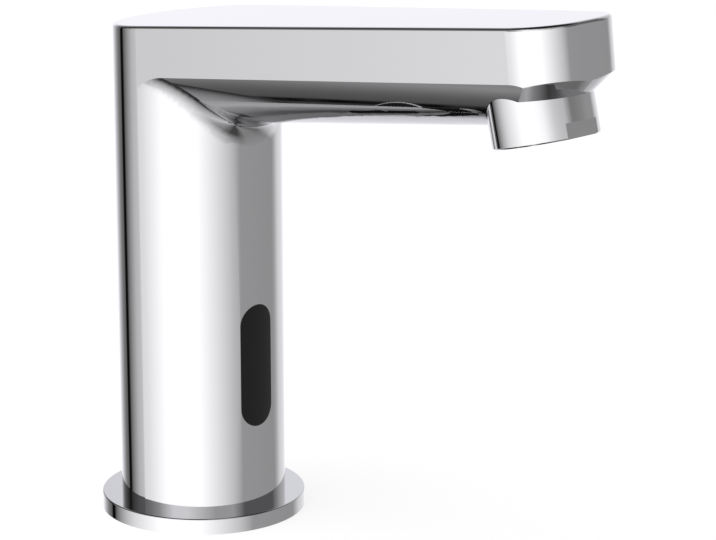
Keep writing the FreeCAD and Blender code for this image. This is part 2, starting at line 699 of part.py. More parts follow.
plate = turned("base_flange", [
    (plate_bore, ZERO), (seal_inner_r, ZERO), (seal_inner_r, D.seal_height),
    (seal_outer_r, D.seal_height), (seal_outer_r, ZERO), (D.flange_radius, ZERO),
    (D.flange_radius, D.flange_height), (plate_bore, D.flange_height)])
doc.recompute()
rims = []
for number, edge in enumerate(plate.Shape.Edges, start=1):
    box = edge.BoundBox
    if box.ZLength < 0.01 and box.XMax > float(D.flange_radius) - 0.01 and box.ZMax > 1.0:
        rims.append("Edge%d" % number)
plain_plate = plate.Tip
rounding = plate.newObject("PartDesign::Fillet", "flange_edge")
rounding.Base = (plain_plate, rims)
rounding.setExpression("Radius", D.flange_rounding.text)
nodes.append(plate)

nodes.append(ring("deck_seal", seal_inner_r + D.seal_gap, seal_outer_r - D.seal_gap,
                  ZERO, D.seal_height - D.seal_gap))

insert_r = D.bore_radius - D.insert_gap
insert = turned("base_insert", [(ZERO, ZERO), (insert_r, ZERO), (insert_r, D.insert_top),
                                (ZERO, D.insert_top)])
studs = new_sketch(insert)
for y in (D.stud_y, -D.stud_y):
    circle(studs, ZERO, y, D.stud_thread)
circle(studs, D.cable_x, ZERO, D.cable_hole)
circle(studs, -D.supply_x, ZERO, D.inlet_throat)
recess(insert, studs)
socket = new_sketch(insert, lift=D.insert_top)
circle(socket, -D.supply_x, ZERO, D.check_socket + D.small_gap)
recess(insert, socket, D.insert_top - socket_z)
inlet = new_sketch(insert, lift=inlet_z)
circle(inlet, -D.supply_x, ZERO, D.inlet_thread)
recess(insert, inlet, inlet_z)
nodes.append(insert)

nodes.append(moved(turned("cable_grommet", [
    (D.grommet_bore, D.grommet_recess), (D.cable_hole - D.small_gap, D.grommet_recess),
    (D.cable_hole - D.small_gap, D.insert_top), (D.grommet_flange, D.insert_top),
    (D.grommet_flange, D.insert_top + D.grommet_lip),
    (D.grommet_bore, D.insert_top + D.grommet_lip)]), x=D.cable_x))

strainer_r = D.inlet_throat - D.small_gap
strainer = turned("inlet_strainer", [
    (ZERO, inlet_z), (strainer_r, inlet_z), (strainer_r, socket_z),
    (ZERO, socket_z)])
moved(strainer, x=-D.supply_x)
mesh_holes = new_sketch(strainer)
for x, y in [(ZERO, ZERO)] + polar(D.inlet_throat * 0.6, 6):
    circle(mesh_holes, ZERO if abs(float(x)) < 1e-4 else x,
           ZERO if abs(float(y)) < 1e-4 else y, D.strainer_hole)
recess(strainer, mesh_holes)
nodes.append(strainer)

# ---------------------------------------------------------------- check valve

nodes.append(moved(turned("check_valve_body", [
    (D.check_bore, socket_z), (D.check_socket, socket_z),
    (D.check_socket, D.insert_top), (D.check_radius, D.insert_top),
    (D.check_radius, check_joint_z), (D.check_chamber, check_joint_z),
    (D.check_chamber, check_seat_z), (D.check_bore, check_seat_z)]), x=-D.supply_x))

cap_r = D.check_chamber - D.small_gap
tube_socket = D.tube_radius + D.small_gap
cap_low = check_joint_z - D.cap_spigot
nodes.append(moved(turned("check_valve_cap", [
    (D.cap_bore, cap_low), (cap_r, cap_low), (cap_r, check_joint_z),
    (D.check_radius, check_joint_z), (D.check_radius, check_top_z), (tube_socket, check_top_z),
    (tube_socket, ring_low_z + D.ring_groove_height),
    (D.ring_groove, ring_low_z + D.ring_groove_height), (D.ring_groove, ring_low_z),
    (tube_socket, ring_low_z), (tube_socket, tube_bottom_z), (D.cap_bore, tube_bottom_z)]),
    x=-D.supply_x))

head_top = check_seat_z + D.poppet_head
poppet_low = check_seat_z - D.poppet_foot
poppet = turned("check_valve_poppet", [
    (ZERO, poppet_low), (D.poppet_stem, poppet_low), (D.poppet_stem, check_seat_z),
    (D.poppet_radius, check_seat_z), (D.poppet_radius, head_top), (D.poppet_stem, head_top),
    (D.poppet_stem, head_top + D.poppet_tail), (ZERO, head_top + D.poppet_tail)])
fins = D.check_bore - D.running_gap * 2
for long_x, long_y in ((fins, D.poppet_fin * 0.5), (D.poppet_fin * 0.5, fins)):
    fin = new_sketch(poppet, lift=poppet_low)
    rectangle(fin, -long_x, long_x, -long_y, long_y)
    raised(poppet, fin, D.poppet_foot)
nodes.append(moved(poppet, x=-D.supply_x))


def spring(label, coil, wire, bottom, height, turns):
    """Coil spring with its ends clear of the faces it stands between."""
    lift = wire + 0.05
    rise_of_coil = height - bottom - 2 * lift
    helix = Part.makeHelix(rise_of_coil / turns, rise_of_coil, coil)
    section = Part.Wire(Part.Circle(V(coil, 0, 0), V(0, 1, 0), wire).toShape())
    shape = Part.Wire(helix.Edges).makePipeShell([section], True, True)
    shape.translate(V(0, 0, bottom + lift))
    return solid_piece(label, shape)


nodes.append(moved(spring("check_valve_spring", float(D.check_coil), float(D.check_wire),
                          float(head_top), float(cap_low), float(D.check_turns)),
                   x=-D.supply_x))

# ---------------------------------------------------------------- supply tube

nodes.append(moved(ring("supply_tube", D.tube_bore, D.tube_radius, tube_bottom_z, tube_top_z),
                   x=-D.supply_x))

ring_mid = float(D.tube_radius) + float(D.ring_wire) + 0.02
rings = []
for low in (ring_low_z, ring_high_z):
    height = float(low) + float(D.ring_groove_height) / 2
    rings.append(Part.makeTorus(ring_mid, float(D.ring_wire), V(0, 0, height)))
nodes.append(moved(solid_piece("tube_seal_rings", Part.makeCompound(rings)), x=-D.supply_x))

# ---------------------------------------------------------------- valve

valve_r = D.bore_radius - D.valve_gap
groove_floor = ledge_z - D.valve_seal_wire * 2
valve = turned("valve_body", [
    (D.cavity_radius, valve_z), (valve_r, valve_z), (valve_r, ledge_z),
    (D.valve_seal_outer, ledge_z), (D.valve_seal_outer, groove_floor),
    (D.valve_seal_inner, groove_floor), (D.valve_seal_inner, ledge_z),
    (D.seat_bore, ledge_z), (D.seat_bore, seat_z), (D.seat_rim, seat_z),
    (D.seat_rim, ring_channel_z), (D.ring_channel, ring_channel_z),
    (D.ring_channel, seat_z), (D.cavity_radius, seat_z)])
tube_stop = tube_top_z + D.small_gap
cuts = [
    (tube_stop, tube_stop - valve_z, tube_socket),
    (ring_high_z + D.ring_groove_height, D.ring_groove_height, D.ring_groove),
    (ring_channel_z, ring_channel_z - tube_top_z, D.tube_bore),
]
for height, depth, radius in cuts:
    bore = new_sketch(valve, lift=height)
    circle(bore, -D.supply_x, ZERO, radius)
    recess(valve, bore, depth)
duct_start = (D.seat_rim + D.ring_channel) * 0.5
duct = new_sketch(valve, "YZ_Plane", lift=-duct_start)
circle(duct, ZERO, valve_duct_z, D.valve_duct)
recess(valve, duct, D.supply_x - duct_start)
threads = new_sketch(valve, lift=bonnet_screw_z + D.thread_spare)
for y in (D.bonnet_screw_y, -D.bonnet_screw_y):
    circle(threads, ZERO, y, D.bonnet_screw + D.screw_gap)
recess(valve, threads, bonnet_screw_z + D.thread_spare - valve_z)
passages = new_sketch(valve)
four = [(x, y) for x in (D.valve_screw_at, -D.valve_screw_at)
        for y in (D.valve_screw_at, -D.valve_screw_at)]
for x, y in four:
    circle(passages, x, y, D.valve_screw + D.screw_gap)
recess(valve, passages)
nodes.append(valve)

nodes.append(solid_piece("valve_seal", Part.makeTorus(
    (float(D.valve_seal_inner) + float(D.valve_seal_outer)) / 2, float(D.valve_seal_wire),
    V(0, 0, float(groove_floor) + float(D.valve_seal_wire)))))


def hexagon(sketch, x, y, corner):
    points = []
    for place_x, place_y in polar(corner, 6):
        at_x = x if abs(float(place_x)) < 1e-4 else place_x + x
        at_y = y if abs(float(place_y)) < 1e-4 else place_y + y
        points.append((at_x, at_y))
    outline(sketch, points)


def upright_screws(label, places, shank, top_end, head_bottom):
    """Cap screws standing head down, one solid for each place."""
    body = new_body(label)
    head = new_sketch(body, lift=head_bottom)
    for x, y in places:
        circle(head, x, y, D.screw_head)
    raised(body, head, D.screw_head_height)
    stem = new_sketch(body, lift=head_bottom + D.screw_head_height - 0.5)
    for x, y in places:
        circle(stem, x, y, shank)
    raised(body, stem, top_end - head_bottom - D.screw_head_height + 0.5)
    key = new_sketch(body, lift=head_bottom + D.screw_socket_depth)
    for x, y in places:
        hexagon(key, x, y, D.screw_socket)
    recess(body, key, D.screw_socket_depth)
    return body


nodes.append(upright_screws("valve_screws", four, D.valve_screw, valve_screw_z,
                            valve_z - D.screw_head_height))

two = [(ZERO, D.bonnet_screw_y), (ZERO, -D.bonnet_screw_y)]
nodes.append(upright_screws("bonnet_screws", two, D.bonnet_screw, bonnet_screw_z,
                            bonnet_z - D.screw_head_height))

plug_r = D.cavity_radius - D.bonnet_gap
bonnet = turned("valve_bonnet", [
    (ZERO, bonnet_z), (D.bonnet_flange, bonnet_z),
    (D.bonnet_flange, valve_z), (plug_r, valve_z), (plug_r, diaphragm_z),
    (D.bonnet_chamber, diaphragm_z), (D.bonnet_chamber, bonnet_floor_z),
    (ZERO, bonnet_floor_z)])
strap = new_sketch(bonnet, lift=bonnet_z)
rectangle(strap, -D.bonnet_ear, D.bonnet_ear, -D.bonnet_screw_y, D.bonnet_screw_y)
raised(bonnet, strap, valve_z - bonnet_z)
ears = new_sketch(bonnet, lift=bonnet_z)
for x, y in two:
    circle(ears, x, y, D.bonnet_ear)
raised(bonnet, ears, valve_z - bonnet_z)
holes = new_sketch(bonnet)
for x, y in two:
    circle(holes, x, y, D.bonnet_screw + D.screw_gap)
circle(holes, ZERO, ZERO, D.guide_radius + D.small_gap)
recess(bonnet, holes)
nodes.append(bonnet)

nodes.append(ring("diaphragm", D.pilot_hole, plug_r, diaphragm_z, seat_z))

nodes.append(turned("diaphragm_disc", [
    (D.pilot_hole, boss_z), (D.boss_radius, boss_z), (D.boss_radius, disc_z),
    (D.disc_radius, disc_z), (D.disc_radius, diaphragm_z), (D.pilot_hole, diaphragm_z)]))

# ---------------------------------------------------------------- solenoid

flange_top = bonnet_floor_z + D.guide_flange_height
nodes.append(turned("armature_tube", [
    (ZERO, guide_stub_z), (D.guide_stub, guide_stub_z),
    (D.guide_stub, guide_z), (D.guide_radius, guide_z),
    (D.guide_radius, bonnet_floor_z), (D.guide_flange, bonnet_floor_z),
    (D.guide_flange, flange_top), (D.guide_bore, flange_top), (D.guide_bore, guide_floor_z),
    (ZERO, guide_floor_z)]))

core_r = D.guide_bore - D.small_gap
nodes.append(turned("fixed_core", [(ZERO, guide_floor_z), (core_r, guide_floor_z),
                                   (core_r, core_z), (ZERO, core_z)]))

plunger_r = D.guide_bore - D.running_gap
seal_pocket = D.pilot_seal + D.small_gap
nodes.append(turned("plunger", [
    (D.plunger_pocket, plunger_z), (plunger_r, plunger_z),
    (plunger_r, plunger_top_z), (seal_pocket, plunger_top_z),
    (seal_pocket, pilot_seal_z), (ZERO, pilot_seal_z),
    (ZERO, plunger_pocket_z), (D.plunger_pocket, plunger_pocket_z)]))

nodes.append(turned("plunger_seal", [(ZERO, pilot_seal_z), (D.pilot_seal, pilot_seal_z),
                                     (D.pilot_seal, boss_z), (ZERO, boss_z)]))

nodes.append(spring("plunger_spring", float(D.plunger_coil), float(D.plunger_wire),
                    float(core_z), float(plunger_pocket_z), float(D.plunger_turns)))

yoke_inside = yoke_z + D.yoke_plate
yoke_roof = bonnet_z - D.yoke_plate
nodes.append(ring("solenoid_coil", D.guide_radius + D.coil_gap, D.coil_radius,
                  yoke_inside + D.coil_gap, yoke_roof - D.coil_gap))

yoke = new_body("solenoid_yoke")
frame = new_sketch(yoke, "YZ_Plane")
yoke_outer = D.yoke_inner + D.yoke_plate
rectangle(frame, -yoke_outer, yoke_outer, yoke_z, bonnet_z)
rectangle(frame, -D.yoke_inner, D.yoke_inner, yoke_inside, yoke_roof)
raised(yoke, frame, D.yoke_half_depth * 2, symmetric=True)
hole = new_sketch(yoke)
circle(hole, ZERO, ZERO, D.guide_radius + D.yoke_gap)
recess(yoke, hole)
nodes.append(yoke)

nut = new_body("solenoid_nut")
flats = new_sketch(nut, lift=yoke_z - D.nut_height)
hexagon(flats, ZERO, ZERO, D.nut_flat * round(2 / math.sqrt(3), 6))
raised(nut, flats, D.nut_height)
eye = new_sketch(nut)
circle(eye, ZERO, ZERO, D.guide_stub + D.screw_gap)
recess(nut, eye)
nodes.append(nut)

# ---------------------------------------------------------------- sensor

lip_r = D.bore_radius - D.gasket_height - D.small_gap
lens = new_body("sensor_window")
lip = new_sketch(lens, "YZ_Plane", lift=D.lens_back)
stadium(lip, D.window_height, D.lip_half_width, lip_half_length)
raised(lens, lip, lip_r - D.lens_back)
lip_curve = new_sketch(lens)
circle(lip_curve, ZERO, ZERO, D.column_radius + 8)
circle(lip_curve, ZERO, ZERO, lip_r)
recess(lens, lip_curve)
block = new_sketch(lens, "YZ_Plane", lift=D.lens_back)
stadium(block, D.window_height, D.window_half_width - D.window_gap,
        D.window_half_length - D.window_gap)
raised(lens, block, D.column_radius - D.lens_back + 1)
skin = new_sketch(lens)
circle(skin, ZERO, ZERO, D.column_radius + 8)
circle(skin, ZERO, ZERO, D.column_radius - D.window_sink)
recess(lens, skin)
hollow_back = new_sketch(lens, "YZ_Plane", lift=D.column_radius - D.lens_thickness)
stadium(hollow_back, D.window_height, D.lens_recess_half, lens_recess_length)
recess(lens, hollow_back, D.column_radius - D.lens_thickness - D.lens_back)
pilots = new_sketch(lens, "YZ_Plane", lift=D.sensor_screw_end + D.running_gap)
for z in (D.window_height - sensor_screw_at, D.window_height + sensor_screw_at):
    circle(pilots, ZERO, z, D.sensor_screw + D.screw_gap)
recess(lens, pilots, D.sensor_screw_end + D.running_gap - D.lens_back)
nodes.append(lens)

gasket = new_body("window_gasket")
band = new_sketch(gasket, "YZ_Plane", lift=D.lens_back)
stadium(band, D.window_height, D.lip_half_width, gasket_half_length)
stadium(band, D.window_height, D.window_half_width, D.window_half_length)
raised(gasket, band, D.bore_radius - D.lens_back + 1)
outside = new_sketch(gasket)
circle(outside, ZERO, ZERO, D.column_radius + 8)
circle(outside, ZERO, ZERO, D.bore_radius - D.small_gap)
recess(gasket, outside)
inside = new_sketch(gasket)
circle(inside, ZERO, ZERO, D.bore_radius - D.gasket_height)
recess(gasket, inside)
nodes.append(gasket)

z_low = D.window_height - D.box_half_length
z_high = D.window_height + D.box_half_length
housing = new_body("sensor_housing")
tray = new_sketch(housing, "YZ_Plane", lift=D.box_back)
rectangle(tray, -D.box_half_width, D.box_half_width, z_low, z_high)
raised(housing, tray, D.box_front - D.box_flange - D.box_back)
edge_plate = new_sketch(housing, "YZ_Plane", lift=D.box_front - D.box_flange)
rectangle(edge_plate, -D.box_half_width, D.box_half_width,
          D.window_height - lip_half_length, D.window_height + lip_half_length)
raised(housing, edge_plate, D.box_flange)
inner_half = D.box_half_width - D.box_wall
inner_low = z_low + D.box_wall
inner_high = z_high - D.box_wall
well = new_sketch(housing, "YZ_Plane", lift=D.box_front)
rectangle(well, -inner_half, inner_half, inner_low, inner_high)
recess(housing, well, D.box_front - D.box_back - D.box_wall)
posts = new_sketch(housing, "YZ_Plane", lift=D.box_back)
for z in (D.window_height - post_offset, D.window_height + post_offset):
    circle(posts, ZERO, z, D.post_radius)
raised(housing, posts, D.board_back - D.box_back)
ears_holes = new_sketch(housing, "YZ_Plane", lift=D.box_front)
for z in (D.window_height - sensor_screw_at, D.window_height + sensor_screw_at):
    circle(ears_holes, ZERO, z, D.sensor_screw + D.screw_gap)
recess(housing, ears_holes, D.box_flange)
nodes.append(housing)

board = new_body("sensor_board")
card = new_sketch(board, "YZ_Plane", lift=D.board_back)
rectangle(card, -(inner_half - D.board_gap), inner_half - D.board_gap,
          inner_low + D.board_gap, inner_high - D.board_gap)
raised(board, card, D.board_thickness)
nodes.append(board)


def domed(label, rim_radius, radius, length, z):
    """Small lamp with a rim at its foot and a round end."""
    body = turned(label, [(ZERO, ZERO), (rim_radius, ZERO), (rim_radius, D.rim_height),
                          (radius, D.rim_height), (radius, length), (ZERO, length)])
    doc.recompute()
    ends = ["Edge%d" % i for i, edge in enumerate(body.Shape.Edges, start=1)
            if edge.BoundBox.ZMin > float(length) - 0.01 and edge.BoundBox.XLength > 1.0]
    blunt = body.Tip
    cap = body.newObject("PartDesign::Fillet", label + "_end")
    cap.Base = (blunt, ends[:1])
    cap.setExpression("Radius", (radius * 0.8).text)
    return facing_front(body, z)


nodes.append(domed("ir_emitter", D.eye_rim, D.eye_radius, D.eye_length,
                   D.window_height + D.eye_offset))
nodes.append(domed("ir_receiver", D.eye_rim, D.eye_radius, D.eye_length,
                   D.window_height - D.eye_offset))
nodes.append(domed("status_light", D.lamp_rim, D.lamp_radius, D.lamp_length,
                   D.window_height))

pair = new_body("sensor_screws")
caps = new_sketch(pair, "YZ_Plane", lift=D.box_front - D.box_flange - D.sensor_screw_cap)
shanks = new_sketch(pair, "YZ_Plane", lift=D.box_front - D.box_flange - 0.5)
for z in (D.window_height - sensor_screw_at, D.window_height + sensor_screw_at):
    circle(caps, ZERO, z, D.sensor_screw_head)
    circle(shanks, ZERO, z, D.sensor_screw)
raised(pair, caps, D.sensor_screw_cap)
raised(pair, shanks, D.sensor_screw_end - D.box_front + D.box_flange + 0.5)
nodes.append(pair)

# ---------------------------------------------------------------- aerator

collar = turned("aerator_housing", [
    (D.collar_lip, ZERO), (D.collar_radius - D.collar_edge, ZERO),
    (D.collar_radius, D.collar_edge), (D.collar_radius, D.collar_height),
    (D.outlet_thread, D.collar_height), (D.outlet_thread, D.outlet_thread_top),
    (D.collar_bore, D.outlet_thread_top), (D.collar_bore, D.collar_lip_height),
    (D.collar_lip, D.collar_lip_height)])
keys = new_sketch(collar, lift=D.flat_height)
reach = D.collar_radius + 2
rectangle(keys, D.flat_distance, reach, -reach, reach)
rectangle(keys, -reach, -D.flat_distance, -reach, reach)
recess(collar, keys, D.flat_height)
nodes.append(leaning(collar))


def holed_disc(label, bottom, height, radius, rings_of_holes, hole_radius, middle=True):
    body = turned(label, [(ZERO, bottom), (radius, bottom), (radius, height), (ZERO, height)])
    drilled = new_sketch(body)
    if middle:
        circle(drilled, ZERO, ZERO, hole_radius)
    for ring_radius, count in rings_of_holes:
        for x, y in polar(ring_radius, count):
            circle(drilled, ZERO if abs(float(x)) < 1e-4 else x,
                   ZERO if abs(float(y)) < 1e-4 else y, hole_radius)
    recess(body, drilled)
    return leaning(body)


inner_r = D.collar_bore - D.running_gap
screen_top = D.insert_disc_top + D.screen_height
nodes.append(holed_disc("aerator_insert", D.collar_lip_height, D.insert_disc_top, inner_r,
                        [(D.insert_ring_one, 6), (D.insert_ring_two, 12)], D.insert_hole))
nodes.append(holed_disc("aerator_screen", D.insert_disc_top, screen_top, inner_r,
                        [(D.insert_ring_one, 6), (D.insert_ring_two, 12)], D.screen_hole))
nodes.append(holed_disc("flow_regulator", screen_top, screen_top + D.regulator_height, inner_r,
                        [(D.regulator_ring, 8)], D.regulator_hole, middle=False))
nodes.append(leaning(ring("aerator_washer", D.washer_bore, D.outlet_thread - D.running_gap,
                          D.outlet_thread_top + D.small_gap,
                          D.outlet_thread_top + D.small_gap + D.washer_height)))

# ---------------------------------------------------------------- checks and export

doc.recompute()
faults = []
for item in doc.Objects:
    if "Invalid" in item.State or "Error" in item.State:
        faults.append("%s is %s" % (item.Name, item.State))
for node in nodes:
    if node.Shape.isNull() or not node.Shape.isValid() or not node.Shape.Solids:
        faults.append("%s has no sound solid" % node.Label)
if faults:
    raise RuntimeError("; ".join(faults))
for node in nodes:
    node.Shape.exportStep("parts/%s.step" % node.Label)
    box = node.Shape.BoundBox
    print("%-20s %2d solids %9.1f mm3  x %.1f..%.1f y %.1f..%.1f z %.1f..%.1f" % (
        node.Label, len(node.Shape.Solids), node.Shape.Volume,
        box.XMin, box.XMax, box.YMin, box.YMax, box.ZMin, box.ZMax))
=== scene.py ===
import json
import math

import bpy
from mathutils import Matrix, Vector

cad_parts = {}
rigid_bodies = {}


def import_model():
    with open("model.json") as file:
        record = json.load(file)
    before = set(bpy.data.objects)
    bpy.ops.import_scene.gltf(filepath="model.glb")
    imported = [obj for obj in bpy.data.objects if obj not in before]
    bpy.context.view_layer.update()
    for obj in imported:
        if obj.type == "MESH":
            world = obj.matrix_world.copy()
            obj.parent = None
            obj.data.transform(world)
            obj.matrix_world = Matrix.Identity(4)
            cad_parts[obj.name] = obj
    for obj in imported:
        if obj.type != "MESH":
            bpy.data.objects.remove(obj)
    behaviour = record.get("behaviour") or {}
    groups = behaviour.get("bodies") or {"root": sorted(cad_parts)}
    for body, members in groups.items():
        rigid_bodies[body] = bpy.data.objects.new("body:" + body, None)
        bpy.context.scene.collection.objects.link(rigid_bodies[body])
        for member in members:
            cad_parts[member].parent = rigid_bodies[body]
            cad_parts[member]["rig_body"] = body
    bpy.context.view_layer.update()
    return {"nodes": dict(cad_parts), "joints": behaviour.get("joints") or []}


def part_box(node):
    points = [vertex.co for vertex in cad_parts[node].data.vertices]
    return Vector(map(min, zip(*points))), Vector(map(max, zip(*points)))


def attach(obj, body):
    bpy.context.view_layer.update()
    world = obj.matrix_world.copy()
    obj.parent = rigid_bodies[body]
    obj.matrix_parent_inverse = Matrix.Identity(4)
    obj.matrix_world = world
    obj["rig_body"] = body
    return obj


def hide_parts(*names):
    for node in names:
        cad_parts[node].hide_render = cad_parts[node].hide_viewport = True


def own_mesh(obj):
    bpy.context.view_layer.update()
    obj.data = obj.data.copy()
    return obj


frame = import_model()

MM = 0.001

# ---------------------------------------------------------------- small helpers


def colour(code, alpha=1.0):
    """sRGB hex to the linear values that shaders take."""
    parts = [int(code[i:i + 2], 16) / 255.0 for i in (1, 3, 5)]
    linear = [c / 12.92 if c <= 0.04045 else ((c + 0.055) / 1.055) ** 2.4 for c in parts]
    return (*linear, alpha)


def node(tree, kind, links=(), sockets=(), stops=(), **settings):
    """Adds a node with its settings, socket values, incoming links and ramp stops.

    Sockets go by name, or by number where names repeat. A stop is a place from 0 to 1, a hex
    colour and, where it isn't 1, how much it covers.
    """
    new = tree.nodes.new(kind)
    for name, value in settings.items():
        setattr(new, name, value)
    for name, value in dict(sockets).items():
        new.inputs[name].default_value = value
    for name, source in dict(links).items():
        tree.links.new(source, new.inputs[name])
    if stops:
        elements = new.color_ramp.elements
        elements.remove(elements[-1])
        elements[0].position = stops[0][0]
        elements[0].color = colour(*stops[0][1:])
        for place, *shade in stops[1:]:
            elements.new(place).color = colour(*shade)
    return new


def material(name, base, roughness, metallic=0.0, **extra):
    """Plain surface: colour, gloss and whether it is metal."""
    new = bpy.data.materials.new(name)
    new.use_nodes = True
    shader = new.node_tree.nodes["Principled BSDF"]
    shader.inputs["Base Color"].default_value = colour(base)
    shader.inputs["Roughness"].default_value = roughness
    shader.inputs["Metallic"].default_value = metallic
    for key, value in extra.items():
        shader.inputs[key.replace("_", " ")].default_value = value
    return new


def uneven(target, low, high, patch):
    """Lets the roughness of a material wander between two values in soft patches, whose width
    is given in millimetres."""
    tree = target.node_tree
    place = node(tree, "ShaderNodeTexCoord")
    noise = node(tree, "ShaderNodeTexNoise", {"Vector": place.outputs["Object"]},
                 {"Scale": 1.0 / (patch * MM), "Detail": 2.0})
    spread = node(tree, "ShaderNodeMapRange", {"Value": noise.outputs["Fac"]},
                  {"From Min": 0.3, "From Max": 0.7, "To Min": low, "To Max": high})
    tree.links.new(spread.outputs["Result"], tree.nodes["Principled BSDF"].inputs["Roughness"])
    return target


# ---------------------------------------------------------------- materials

# Chrome plate on brass, buffed: a mirror a little darker than silver, with sharp reflections.
# The wheel's passes are as wide as a finger and too faint to see as such.
chrome = uneven(material("chrome_plate_polished", "#CDCDCF", 0.012, 1.0), 0.006, 0.016, 17.0)
# Infrared-clear acrylic, dyed black and moulded: a dark grey gloss, because its face mirrors
# the room, with the slow unevenness of a mould polished by hand
window_acrylic = uneven(
    material("acrylic_window_black", "#070708", 0.08, Specular_IOR_Level=0.36), 0.05, 0.12, 12.5)
# EPDM rubber, moulded: black and dull, with a bloom drawn coarser than the real one
rubber = uneven(material("rubber_epdm_black", "#1B1B1C", 0.75), 0.65, 0.85, 3.3)
# Brass, turned and left bare: warm yellow with a soft sheen. The real feed of 0.2 mm is too
# fine to show, so the marks are drawn 4 mm wide.
brass = uneven(material("brass_machined", "#C8A45C", 0.28, 1.0), 0.22, 0.36, 4.0)
# Stainless steel, drawn and pressed: light grey with a satin sheen, its marks drawn 2.5 mm
# wide, because the real ones are too fine to show
steel = uneven(material("steel_stainless", "#B9BABC", 0.3, 1.0), 0.22, 0.38, 2.5)
# Nylon with glass fibre, moulded: near black with a dull gloss, its fibre marks drawn coarser
# than the real ones
nylon_black = uneven(material("nylon_black", "#222224", 0.5), 0.42, 0.6, 3.0)
# Acetal, moulded: warm white with a waxy gloss, even but for faint flow marks
acetal = uneven(material("acetal_white", "#E4E3DD", 0.35), 0.3, 0.42, 3.3)
# Epoxy, cast round the winding: dark blue-grey with a wet gloss that wanders over 5 mm
epoxy = uneven(material("epoxy_coil_dark", "#2A2B30", 0.35), 0.28, 0.42, 5.0)
# Solder lacquer on a circuit board: deep green with a soft gloss. The glass weave under it is
# drawn 2 mm wide, coarser than the real one.
board = uneven(material("board_lacquer_green", "#1E5B36", 0.35), 0.3, 0.45, 2.0)
# Cast lamp resin, clear, smoked and red: smooth and glossy
resin_clear = material("resin_clear_blue", "#B9C4D6", 0.12)
resin_smoked = material("resin_smoked", "#1A1620", 0.12)
resin_red = material("resin_red", "#B42A28", 0.15)
# Acetal, moulded in grey: duller than the white, from a mould left as the tool cut it
outlet_grey = uneven(material("acetal_grey", "#9A9CA0", 0.45), 0.4, 0.55, 3.3)

FINISHES = {
    chrome: ("body_casting", "base_flange", "aerator_housing"),
    window_acrylic: ("sensor_window",),
    rubber: ("deck_seal", "cable_grommet", "tube_seal_rings", "valve_seal", "diaphragm",
             "plunger_seal", "window_gasket", "aerator_washer"),
    brass: ("base_insert", "valve_body"),
    steel: ("inlet_strainer", "check_valve_spring", "supply_tube", "valve_screws",
            "bonnet_screws", "armature_tube", "fixed_core", "plunger", "plunger_spring",
            "solenoid_yoke", "solenoid_nut", "sensor_screws", "aerator_screen"),
    nylon_black: ("check_valve_body", "check_valve_cap", "valve_bonnet", "sensor_housing"),
    acetal: ("check_valve_poppet", "diaphragm_disc", "flow_regulator"),
    epoxy: ("solenoid_coil",),
    board: ("sensor_board",),
    resin_clear: ("ir_emitter",),
    resin_smoked: ("ir_receiver",),
    resin_red: ("status_light",),
    outlet_grey: ("aerator_insert",),
}
for finish, names in FINISHES.items():
    for name in names:
        piece = frame["nodes"][name]
        piece.data.materials.clear()
        piece.data.materials.append(finish)

# ---------------------------------------------------------------- springs

# wire radius and working turns of each spring, as in the CAD model
WIRES = {"plunger_spring": (0.25 * MM, 9.0), "check_valve_spring": (0.3 * MM, 2.5)}
# turns that lie flat, one at each end
CLOSED_TURNS = 2
STEPS_PER_TURN = 28
SIDES = 10


def spring_mesh(name, low, high, wire, turns):
    """Round wire wound between two heights, with one closed turn lying flat at each end."""
    middle = (low + high) / 2
    coil = (high.x - low.x) / 2 - wire
    pitch = (high.z - low.z - (CLOSED_TURNS + 1) * 2 * wire) / turns
    count = round((turns + CLOSED_TURNS) * STEPS_PER_TURN)
    points = []
    for step in range(count + 1):
        turn = (turns + CLOSED_TURNS) * step / count
        working = min(max(turn - CLOSED_TURNS / 2, 0), turns)
        climb = working * pitch + (turn - working) * 2 * wire
        slope = pitch if 0 < working < turns else 2 * wire
        around = 2 * math.pi * turn
        outward = Vector((math.cos(around), math.sin(around), 0))
        onward = Vector((-math.sin(around), math.cos(around), slope / (2 * math.pi * coil)))
        across = onward.normalized().cross(outward)
        centre = Vector((middle.x, middle.y, low.z + wire + climb)) + outward * coil
        for side in range(SIDES):
            place = 2 * math.pi * side / SIDES
            points.append(centre + (outward * math.cos(place) + across * math.sin(place)) * wire)
    faces = [tuple(range(SIDES)), tuple(reversed(range(count * SIDES, (count + 1) * SIDES)))]
    for step in range(count):
        first = step * SIDES
        second = first + SIDES
        for side in range(SIDES):
            after = (side + 1) % SIDES
            faces.append((first + after, first + side, second + side, second + after))
    mesh = bpy.data.meshes.new(name)
    mesh.from_pydata(points, [], faces)
    mesh.shade_smooth()
    mesh.materials.append(steel)
    return mesh


def flattening_spring(soft):
    """Puts a wound wire in a spring's place, on the body that carries the spring, and hides the
    spring it stands for.
    """
    low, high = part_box(soft["node"])
    name = soft["node"] + "_coil"
    spring = bpy.data.objects.new(name, spring_mesh(name, low, high, *WIRES[soft["node"]]))
    bpy.context.scene.collection.objects.link(spring)
    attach(spring, frame["nodes"][soft["node"]]["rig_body"])
    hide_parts(soft["node"])
    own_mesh(spring)


for joint in frame["joints"]:
    for soft in joint.get("deforming_nodes", []):
        if soft["node"] in WIRES:
            flattening_spring(soft)

# ---------------------------------------------------------------- floor

FLOOR_SIZE = 4.0
# the paper shines by itself for most of its brightness, and the rest takes the tap's shadow
GLOW = 1.12
GLOW_SHARE = 0.7

